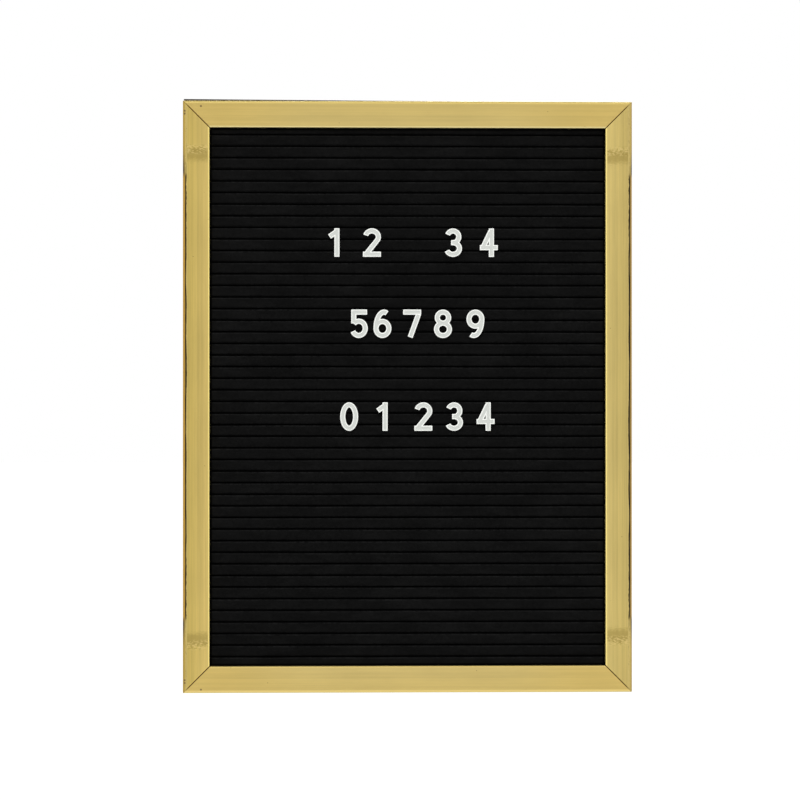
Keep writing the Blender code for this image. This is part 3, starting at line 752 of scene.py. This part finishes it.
def make_frame():
    """Four rails round the sight opening, each with its own copy of the foil, whose painted highlights
    and reflections differ from rail to rail.
    """
    level_face = (rgb(204, 181, 112), rgb(203, 179, 108))
    level, upright = SIGHT_W / 2, SIGHT_H / 2
    # each rail's copy of the foil carries its own painted highlight and reflection colours
    finishes = {
        "top": gold_foil("gold_foil_top", level, level_face, rgb(226, 209, 146),
                         (rgb(222, 197, 117), rgb(176, 155, 78)), marks=[(0.0143, 0.1398)]),
        "bottom": gold_foil("gold_foil_bottom", level, level_face, rgb(222, 197, 120),
                            (rgb(226, 200, 124), rgb(202, 184, 106)), marks=[(0.0156, -0.1398)]),
        "left": gold_foil("gold_foil_left", upright, (rgb(204, 179, 104), rgb(194, 170, 91)),
                          rgb(252, 229, 138), rgb(190, 148, 56), dark_reflection_line=(0.0155, 0.0166),
                          bars=(0.1571, 0),
                          marks=[(0.0168, z) for z in (-0.1931, -0.1912, 0.1912, 0.1931)]),
        "right": gold_foil("gold_foil_right", upright, (rgb(205, 183, 111), rgb(193, 171, 101)),
                           rgb(254, 231, 142), rgb(186, 150, 78), dark_reflection_line=(0.0156, 0.0169),
                           bars=(0.1554, 0.0006)),
    }
    for seed, (name, turn, x, z, length) in enumerate((
        ("top", -math.pi / 2, 0, upright, SIGHT_W),
        ("bottom", math.pi / 2, 0, -upright, SIGHT_W),
        ("left", math.pi, -level, 0, SIGHT_H),
        ("right", 0, level, 0, SIGHT_H),
    )):
        to_row = Matrix.Translation((x, 0, z - BEARING_Z)) @ Matrix.Rotation(turn, 4, "Y")
        cutters = corner_slots(name) + rail_holes(name)
        for cutter in cutters:
            cutter.transform(to_row.inverted())
        mesh = boolean(rail_mesh(length, seed * 13.7), cutters, "DIFFERENCE")
        soften(mesh, 30)
        dressed("foil_rail_" + name, mesh, finishes[name], ["rail_" + name],
                (x, 0, z - BEARING_Z), turn)


# Felt


def groove_heights():
    """Heights of the grooves, from the top one down, above the middle of the board."""
    top = SIGHT_H / 2 - FIRST_GROOVE_DROP
    return [top - i * GROOVE_PITCH for i in range(GROOVE_COUNT)]


def felt_section(x):
    """The felt's front at one place across the board, from the top edge down: depth and height."""
    top_margin, bottom_margin = 0.003, 0.002
    path = [(FELT_FRONT_Y, PANEL_H / 2), (FELT_FRONT_Y, PANEL_H / 2 - top_margin)]
    edge_y = FELT_FRONT_Y + RIDGE_R
    below = None
    for i, height in enumerate(groove_heights()):
        middle = height + GROOVE_WANDER * noise.noise((x * 42, i * 3.7, 1.3))
        half = GROOVE_GAP / 2 + GROOVE_WIDTH_CHANGE * noise.noise((x * 55, i * 5.1, 7.9))
        floor = GROOVE_FLOOR_Y + FLOOR_WANDER * (noise.noise((x * 30, i * 2.3, 4.4)) - 0.6)
        upper = middle + half + RIDGE_R
        if below is not None:
            span = below - upper
            crown = RIDGE_CROWN * (1 + 0.6 * noise.noise((x * 25, i * 4.9, 2.2)))
            for share in (0.25, 0.5, 0.75):
                path.append((FELT_FRONT_Y - crown * (1 - (2 * share - 1) ** 2), below - span * share))
        path += arc(edge_y, upper, RIDGE_R, RIDGE_R, 180, 270, 5)
        path += [(floor - GROOVE_CORNER, middle + half), (floor, middle + half - GROOVE_CORNER)]
        path += [(floor, middle - half + GROOVE_CORNER), (floor - GROOVE_CORNER, middle - half)]
        path += arc(edge_y, middle - half - RIDGE_R, RIDGE_R, RIDGE_R, 90, 180, 5)
        below = middle - half - RIDGE_R
    return path + [(FELT_FRONT_Y, -PANEL_H / 2 + bottom_margin), (FELT_FRONT_Y, -PANEL_H / 2)]


def make_felt():
    """One sheet, stretched over the ridges and tucked into every groove."""
    rows = []
    for i in range(FELT_STEPS + 1):
        x = PANEL_W * (i / FELT_STEPS - 0.5)
        rows.append([(x, y, z) for y, z in felt_section(x)])
    mesh = grid_mesh("felt", rows, closed=False, capped=False)
    mesh.shade_smooth()
    felt = dressed("pleated_felt", mesh, black_felt(), ["felt_sheet"], MIDDLE)
    solidify = felt.modifiers.new("thickness", "SOLIDIFY")
    solidify.thickness = FELT_T
    solidify.offset = -1
    solidify.use_even_offset = True
    profile = felt_section(0.0)


# Numerals


def numeral_strokes(digit):
    """The centre lines of a numeral's strokes, from its middle, each with whether it closes."""
    half_w = NUMERAL_W / 2
    half_h = NUMERAL_H / 2
    a = half_w - STROKE_W / 2
    b = half_h - STROKE_W / 2

    def bow(centre_z, radius_x, radius_z, start, end, centre_x=0.0):
        steps = max(2, round(abs(end - start) / BOW_STEP_DEG))
        return arc(centre_x, centre_z, radius_x, radius_z, start, end, steps)

    def ring(centre_z, radius_x, radius_z):
        return bow(centre_z, radius_x, radius_z, 0, 360)[:-1]

    def six(sign):
        bowl_z = 0.6 * b
        strokes = [(ring(bowl_z - b, a, bowl_z), True),
                   (bow(bowl_z - b, 1.25 * a, 2 * b - bowl_z, 182, 68, 0.25 * a), False)]
        return [([(sign * x, sign * z) for x, z in path], closed) for path, closed in strokes]

    if digit == "0":
        return [(ring(0, a, b), True)]
    if digit == "1":
        stem = 0.3 * a
        return [([(stem, -half_h), (stem, half_h)], False),
                ([(stem, b - 0.1 * STROKE_W), (-0.85 * a, 0.5 * b)], False)]
    if digit == "2":
        hook = bow(0.48 * b, a, 0.52 * b, 165, -28)
        return [(hook + [(-a + 0.1 * STROKE_W, -b)], False), ([(-half_w, -b), (half_w, -b)], False)]
    if digit == "3":
        return [(bow(0.5 * b, 0.9 * a, 0.5 * b, 158, -90) + [(-0.3 * a, 0)], False),
                ([(-0.3 * a, 0)] + bow(-0.5 * b, a, 0.5 * b, 90, -158), False)]
    if digit == "4":
        stem = 0.4 * a
        bar = -0.42 * b
        return [([(stem, -half_h), (stem, half_h)], False), ([(-half_w, bar), (half_w, bar)], False),
                ([(stem - 0.1 * STROKE_W, b), (-a + 0.1 * STROKE_W, bar)], False)]
    if digit == "5":
        stem = -0.78 * a
        return [([(0.92 * half_w, b), (stem, b), (stem, 0.02 * b)], False),
                (bow(-0.39 * b, a, 0.61 * b, 141, -155), False)]
    if digit == "6":
        return six(1)
    if digit == "7":
        start = (a + 0.02 * STROKE_W, b - 0.35 * STROKE_W)
        return [([(-half_w, b), (half_w, b)], False),
                ([start, (-0.3 * a, 0.15 * STROKE_W - half_h)], False)]
    if digit == "8":
        return [(ring(-0.47 * b, a, 0.53 * b), True), (ring(0.53 * b, 0.88 * a, 0.47 * b), True)]
    return six(-1)


def stretches_at(mesh, height):
    """The stretches of material that a level line at this height crosses, as pairs of x."""
    work = bmesh.new()
    work.from_mesh(mesh)
    tree = BVHTree.FromBMesh(work)
    work.free()
    crossings = []
    start = Vector((-NUMERAL_W, 0, height))
    step = Vector((1e-6, 0, 0))
    hit = tree.ray_cast(start, Vector((1, 0, 0)))[0]
    while hit:
        crossings.append(hit.x)
        hit = tree.ray_cast(hit + step, Vector((1, 0, 0)))[0]
    return list(zip(crossings[::2], crossings[1::2]))


def shortened(path, length):
    """An open path cut back by a length at both its ends."""
    for _ in range(2):
        left = length
        while math.dist(path[0], path[1]) < left:
            left -= math.dist(path[0], path[1])
            path = path[1:]
        share = left / math.dist(path[0], path[1])
        start = tuple(a + (b - a) * share for a, b in zip(path[0], path[1]))
        path = ([start] + path[1:])[::-1]
    return path


def numeral_mesh(digit):
    """A numeral whose front is sunk inside a narrow rim, with a prong behind each stroke that
    crosses one of its two grooves."""
    strokes, pockets, plain = [], [], []
    for path, closed in numeral_strokes(digit):
        plain.append(stroke_mesh(path, STROKE_W, NUMERAL_T, closed))
        whole = linked("stroke", plain[-1].copy())
        strokes.append(evaluated_mesh(bevelled(whole, NUMERAL_EDGE_R, level_normals=False)))
        inner = path if closed else shortened(path, NUMERAL_RIM_W)
        pocket = stroke_mesh(inner, STROKE_W - 2 * NUMERAL_RIM_W, 2 * NUMERAL_FACE_SINK, closed)
        pocket.transform(Matrix.Translation((0, -NUMERAL_T / 2, 0)))
        pockets.append(pocket)
    prongs = []
    for level in (1, -1):
        height = level * GROOVE_PITCH / 2 - NUMERAL_LIFT
        for low_x, high_x in stretches_at(joined(plain), height):
            if high_x - low_x < PRONG_W:
                continue
            x = (low_x + high_x) / 2
            prongs.append(box_mesh((x - PRONG_W / 2, 0, height - PRONG_T / 2),
                                   (x + PRONG_W / 2, NUMERAL_T / 2 + PRONG_L, height + PRONG_T / 2)))
    sunk = boolean(joined(strokes), [joined(pockets)], "DIFFERENCE")
    mesh = boolean(sunk, prongs, "UNION")
    soften(mesh, 50)
    return mesh


def make_numerals():
    plastic = white_plastic()
    grooves = groove_heights()
    meshes = {digit: numeral_mesh(digit) for digit in "0123456789"}
    for row, (groove, numerals) in enumerate(NUMERAL_ROWS, start=1):
        height = (grooves[groove - 1] + grooves[groove]) / 2 + NUMERAL_LIFT
        for place, (digit, x) in enumerate(numerals, start=1):
            dressed(f"moulded_row{row}_{place}", meshes[digit].copy(), plastic,
                    [f"row{row}_numeral_{place}"],
                    (x, NUMERAL_REAR_Y - NUMERAL_T / 2, height - BEARING_Z))


# Back


def turned_rows(profile, sides, radius_at=None):
    """Rings round the Y axis from radius and depth points. Where a point has no radius, that of
    its ring varies with depth and angle as radius_at gives it."""
    rows = []
    for radius, y in profile:
        row = []
        for j in range(sides):
            angle = 2 * math.pi * j / sides
            r = radius_at(y, angle) if radius is None else radius
            row.append((r * math.cos(angle), y, r * math.sin(angle)))
        rows.append(row)
    return rows


def head_profile(radius, height, shares):
    """Points down a turned head from shares of its radius and height."""
    return [(radius_share * radius, height_share * height) for radius_share, height_share in shares]


def thread(y, angle):
    """Radius of the screw's threaded shank, which tapers to a point."""
    turn = (-y / THREAD_PITCH + angle / (2 * math.pi)) % 1
    ridge = max(0.0, 1 - abs(turn - 0.5) / THREAD_HALF_W)
    start = max(0.0, min(1.0, (-y - THREAD_START) / THREAD_RUN_IN))
    taper = min(1.0, (SCREW_L + y) / SCREW_TIP_L)
    radius = THREAD_ROOT_R + (THREAD_CREST_R - THREAD_ROOT_R) * ridge * start
    return max(SCREW_TIP_R, radius * taper)


def recess_blade(turn):
    """One of the two wedges that cut the cross recess."""
    work = bmesh.new()
    bmesh.ops.create_cone(work, cap_ends=True, segments=4, radius1=RECESS_TIP_R,
                          radius2=RECESS_TOP_R, depth=RECESS_H,
                          matrix=Matrix.Rotation(math.pi / 4, 4, "Z"))
    blade = bmesh_to_mesh(work, "blade")
    blade.transform(Matrix.Translation((0, SCREW_HEAD_H - RECESS_MIDDLE_DROP, 0))
                    @ Matrix.Rotation(turn, 4, "Y") @ Matrix.Diagonal((1, 1, RECESS_FLATNESS, 1))
                    @ Matrix.Rotation(-math.pi / 2, 4, "X"))
    return blade


def screw_mesh():
    """A pan-head screw, its seat at the origin: a domed head with a cross recess, and a threaded
    shank that runs forwards to a point."""
    head = head_profile(SCREW_HEAD_R, SCREW_HEAD_H, (
        (0.02, 1), (0.35, 0.985), (0.6, 0.93), (0.78, 0.82), (0.9, 0.66), (0.97, 0.45),
        (1, 0.25), (0.995, 0.06), (0.96, 0)))
    neck = [(1.15 * SCREW_SHANK_R, 0.0), (THREAD_ROOT_R, -0.0002)]
    shank = [(None, -THREAD_START - (SCREW_L - THREAD_START) * i / THREAD_STEPS)
             for i in range(THREAD_STEPS + 1)]
    body = grid_mesh("screw", turned_rows(head + neck + shank, SCREW_SIDES, thread))
    mesh = boolean(body, [recess_blade(turn) for turn in (0, math.pi / 2)], "DIFFERENCE")
    soften(mesh, 38)
    return mesh


def nail_mesh():
    """A round nail with a domed head, its seat at the origin."""
    head = head_profile(NAIL_HEAD_R, NAIL_HEAD_H, (
        (0.02, 1), (0.5, 0.97), (0.8, 0.86), (0.96, 0.62), (1, 0.4), (0.98, 0.05), (0.94, 0)))
    shank = [(1.2 * NAIL_SHANK_R, 0.0), (NAIL_SHANK_R, -0.0002), (NAIL_SHANK_R, -NAIL_L + 0.0016),
             (0.5 * NAIL_SHANK_R, -NAIL_L + 0.0008), (0.00005, -NAIL_L)]
    mesh = grid_mesh("nail", turned_rows(head + shank, NAIL_SIDES))
    soften(mesh, 38)
    return mesh


def rounded_copy(name, node, width, material):
    """A piece with the shape of a CAD node, its sharp edges slightly rounded."""
    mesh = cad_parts[node].data.copy()
    work = bmesh.new()
    work.from_mesh(mesh)
    bmesh.ops.remove_doubles(work, verts=work.verts, dist=2e-6)
    bmesh.ops.dissolve_limit(work, angle_limit=math.radians(1), verts=work.verts, edges=work.edges)
    bmesh.ops.recalc_face_normals(work, faces=work.faces)
    work.to_mesh(mesh)
    work.free()
    item = dressed(name, mesh, material, [node])
    bevelled(item, width, 2, 50)


def make_back():
    steel = zinc_steel()
    rounded_copy("hardboard_back", "back_board", BACK_EDGE_R, backing_board())
    rounded_copy("stamped_hanger", "sawtooth_hanger", HANGER_EDGE_R, steel)
    screw = screw_mesh()
    for number in range(1, SCREW_COUNT + 1):
        at = node_middle(f"back_screw_{number}")
        turned = screw.copy()
        turned.transform(Matrix.Rotation(number * 2.4, 4, "Y"))
        dressed(f"pan_screw_{number}", turned, steel, [f"back_screw_{number}"],
                (at.x, SCREW_SEAT_Y, at.z))
    nail = nail_mesh()
    for side in ("left", "right"):
        at = node_middle("hanger_nail_" + side)
        dressed("round_nail_" + side, nail.copy(), steel, ["hanger_nail_" + side],
                (at.x, NAIL_SEAT_Y, at.z))
    for level in ("top", "bottom"):
        for side in ("left", "right"):
            repaint(f"v_nail_{level}_{side}", steel)
    repaint("core_board", core_board())


# Studio


def make_world():
    """White to the camera and to reflections; an even grey light for everything else."""
    world = bpy.data.worlds.new("studio")
    bpy.context.scene.world = world
    world.use_nodes = True
    tree = world.node_tree
    tree.nodes.clear()
    rays = tree.nodes.new("ShaderNodeLightPath")
    seen = rays.outputs["Is Camera Ray"]
    for kind in ("Is Glossy Ray", "Is Transmission Ray"):
        either = tree.nodes.new("ShaderNodeMath")
        either.operation = "MAXIMUM"
        tree.links.new(seen, either.inputs[0])
        tree.links.new(rays.outputs[kind], either.inputs[1])
        seen = either.outputs[0]
    mix = tree.nodes.new("ShaderNodeMixShader")
    tree.links.new(seen, mix.inputs[0])
    for socket, strength in ((1, EVEN_LIGHT), (2, 1.0)):
        background = tree.nodes.new("ShaderNodeBackground")
        background.inputs["Color"].default_value = (1, 1, 1, 1)
        background.inputs["Strength"].default_value = strength
        tree.links.new(background.outputs[0], mix.inputs[socket])
    output = tree.nodes.new("ShaderNodeOutputWorld")
    tree.links.new(mix.outputs[0], output.inputs[0])


def area_lamp(name, location, size, watts, shines=False):
    """A soft square lamp; one that doesn't shine leaves no reflection of itself."""
    data = bpy.data.lights.new(name, "AREA")
    data.shape = "SQUARE"
    data.size = size
    data.energy = watts
    lamp = linked(name, data)
    lamp.location = location
    lamp.visible_glossy = shines
    lamp.rotation_mode = "QUATERNION"
    lamp.rotation_quaternion = (Vector(location) - MIDDLE).to_track_quat("Z", "Y")


def make_floor():
    """A wide pale floor that stays white to the camera where no shadow falls on it."""
    corners = [(x * FLOOR_HALF_W, y * FLOOR_HALF_W, 0) for x, y in ((-1, -1), (1, -1), (1, 1), (-1, 1))]
    mesh = bpy.data.meshes.new("floor")
    mesh.from_pydata(corners, [], [(0, 1, 2, 3)])
    floor = linked("floor", mesh)
    floor.location = (0, 0, FLOOR_Z)
    f = Finish("pale_floor")
    mottle = f.between(f.grain(9, 3, 0.6), 0.3, 0.7, 0.985, 1.01)
    rays = f.tree.nodes.new("ShaderNodeLightPath").outputs
    mirrored = f.maths("MAXIMUM", rays["Is Glossy Ray"], rays["Is Transmission Ray"])
    seen = f.maths("ADD", rays["Is Camera Ray"], f.times(mirrored, MIRRORED_GLOW_SHARE))
    f.set(Base_Color=f.shade(rgb(238, 238, 237), mottle), Roughness=0.8, Emission_Color=(1, 1, 1, 1),
          Emission_Strength=f.times(seen, FLOOR_GLOW))
    mesh.materials.append(f.material)


def make_camera():
    """The photograph's view: level, from slightly left of straight ahead."""
    aim = MIDDLE + Vector((-OBJECT_RIGHT_PX * METRES_PER_PX, RAIL_FRONT_Y,
                           -OBJECT_UP_PX * METRES_PER_PX))
    data = bpy.data.cameras.new("photo_camera")
    data.sensor_width = SENSOR_W
    data.lens = SENSOR_W * CAMERA_DISTANCE / (PHOTO_PX * METRES_PER_PX)
    camera = linked("photo_camera", data)
    towards = Vector((math.sin(CAMERA_YAW), math.cos(CAMERA_YAW), 0))
    camera.location = aim - towards * CAMERA_DISTANCE
    camera.rotation_mode = "QUATERNION"
    camera.rotation_quaternion = towards.to_track_quat("-Z", "Y")
    bpy.context.scene.camera = camera


make_frame()
make_felt()
make_numerals()
make_back()
make_world()
make_floor()
area_lamp("key_front", (-0.4, -2.2, 2.6), 1.8, 64)
area_lamp("fill_front", (0.5, -3.0, -0.9), 1.6, 9)
area_lamp("key_rear", (0.6, 2.6, 2.0), 1.6, 50, shines=True)
make_camera()
bpy.context.scene.view_settings.view_transform = "Standard"
